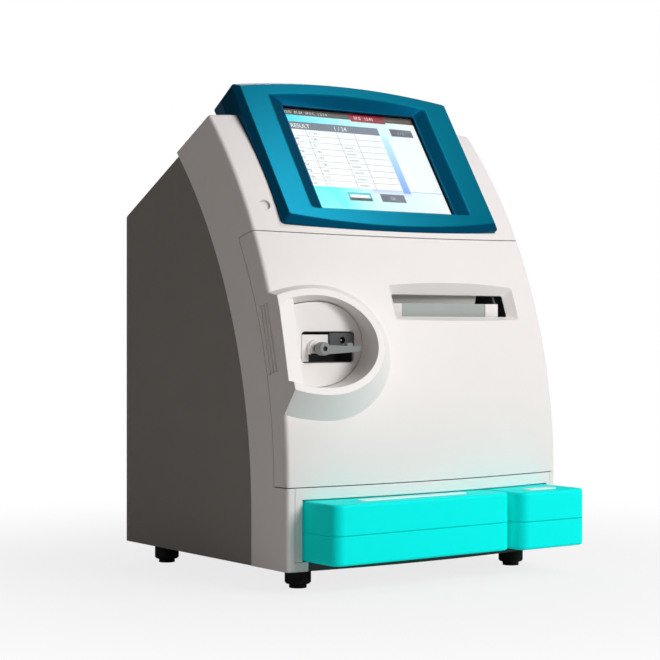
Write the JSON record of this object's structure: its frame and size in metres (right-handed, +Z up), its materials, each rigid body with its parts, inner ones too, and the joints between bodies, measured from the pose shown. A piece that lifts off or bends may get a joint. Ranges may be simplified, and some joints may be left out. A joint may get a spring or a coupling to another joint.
{
  "type": "blood gas analyzer",
  "caption": "Benchtop blood-gas analyzer with a leaning touch screen, a hinged front door round a lever-operated sample port, a printer slot and slide-in reagent packs.",
  "frame": {"origin": "middle of the footprint, packs included, at the undersides of the feet", "axes": "+X to the right as seen from the front, +Y to the back, +Z up"},
  "size_m": [0.342, 0.3745, 0.5072],
  "materials": {
    "housing_dark": "fine textured dark grey coating",
    "shell_white": "fine textured warm white",
    "pod_teal": "satin blue-green",
    "pod_back_teal": "satin dark blue-green",
    "pack_cyan": "satin cyan",
    "pouch_film": "soft translucent film",
    "screen_glass": "polished",
    "screen_panel": "lit screen",
    "board_green": "solder mask",
    "foot_rubber": "moulded",
    "black_plastic": "fine texture",
    "grey_plastic": "satin light grey",
    "bar_grey": "satin",
    "steel": "satin",
    "sheet_steel": "zinc plated",
    "aluminium_block": "machined",
    "contact_brass": "bright",
    "paper_white": "uncoated",
    "soft_tube": "translucent silicone",
    "lamp_lens": "polished"
  },
  "bodies": {
    "chassis": {"back_panel": "housing_dark", "bar_clips": "shell_white", "base_tray": "sheet_steel", "bay_frame": "shell_white", "bay_liner": "sheet_steel", "data_ports": "steel", "display_back": "pod_back_teal", "display_bezel": "pod_teal", "display_board": "board_green", "display_panel": "screen_panel", "dock_manifold": "aluminium_block", "dock_needles": "steel", "door_catch": "black_plastic", "electronics_shelf": "sheet_steel", "fan_frame": "black_plastic", "fan_guard": "steel", "feet": "foot_rubber", "front_shell": "shell_white", "hinge_pins": "steel", "inlet_blades": "contact_brass", "instrument_plate": "sheet_steel", "lever_pivot": "steel", "main_board": "board_green", "pack_rails": "black_plastic", "paper_spindle": "steel", "power_inlet": "black_plastic", "power_supply": "sheet_steel", "printer_body": "black_plastic", "pump_housing": "black_plastic", "pump_motor": "black_plastic", "pump_tube": "soft_tube", "rear_housing": "housing_dark", "sampler_block": "grey_plastic", "sampler_insert": "shell_white", "sampler_panel": "shell_white", "sampler_port": "black_plastic", "screws": "steel", "sensor_housing": "aluminium_block", "sensors": "grey_plastic", "status_lamp": "lamp_lens", "switch_frame": "black_plastic", "tear_bar": "bar_grey", "touch_glass": "screen_glass", "transfer_tubes": "soft_tube"},
    "door": {"door": "shell_white", "door_strike": "steel"},
    "lever": {"sample_lever": "grey_plastic"},
    "probe": {"sample_probe": "steel"},
    "large_pack": {"large_pack_lower": "pack_cyan", "large_pack_upper": "pack_cyan", "large_pack_insides": "pouch_film"},
    "small_pack": {"small_pack_lower": "pack_cyan", "small_pack_upper": "pack_cyan", "small_pack_insides": "pouch_film"},
    "pump_wheel": {"pump_rotor": "grey_plastic", "pump_rollers": "steel"},
    "platen": {"platen_roller": "black_plastic"},
    "paper": {"paper_roll": "paper_white"},
    "fan_wheel": {"fan_rotor": "black_plastic"},
    "rocker": {"rocker_switch": "black_plastic"}
  },
  "joints": [
    {"name": "door_hinge", "type": "hinge", "parent": "chassis", "child": "door", "pos_m": [0.166, -0.10175, 0.0995], "axis": [0, 0.2407, 0.9706], "range_deg": [0, 90]},
    {"name": "lever_lift", "type": "hinge", "parent": "chassis", "child": "lever", "pos_m": [-0.1245, -0.11575, 0.2297], "axis": [0, -1, 0], "range_deg": [0, 75]},
    {"name": "probe_slide", "type": "slide", "parent": "chassis", "child": "probe", "axis": [0, -1, 0], "range_m": [0, 0.0225]},
    {"name": "large_pack_slide", "type": "slide", "parent": "chassis", "child": "large_pack", "axis": [0, -1, 0], "range_m": [0, 0.25]},
    {"name": "small_pack_slide", "type": "slide", "parent": "chassis", "child": "small_pack", "axis": [0, -1, 0], "range_m": [0, 0.25]},
    {"name": "pump_spin", "type": "hinge", "parent": "chassis", "child": "pump_wheel", "pos_m": [-0.012, -0.04725, 0.17], "axis": [0, -1, 0], "continuous": true},
    {"name": "platen_spin", "type": "hinge", "parent": "chassis", "child": "platen", "pos_m": [0.043, -0.08175, 0.263], "axis": [1, 0, 0], "continuous": true},
    {"name": "paper_spin", "type": "hinge", "parent": "chassis", "child": "paper", "pos_m": [0.043, -0.05825, 0.284], "axis": [1, 0, 0], "continuous": true},
    {"name": "fan_spin", "type": "hinge", "parent": "chassis", "child": "fan_wheel", "pos_m": [-0.07, 0.16625, 0.265], "axis": [0, 1, 0], "continuous": true},
    {"name": "rocker_tilt", "type": "hinge", "parent": "chassis", "child": "rocker", "pos_m": [0.132, 0.17975, 0.058], "axis": [1, 0, 0], "range_deg": [-12, 0]}
  ],
  "couplings": [
    {"joint": "probe_slide", "follows": "lever_lift", "m_per_rad": 0.0168},
    {"joint": "platen_spin", "follows": "paper_spin", "ratio": 4}
  ]
}
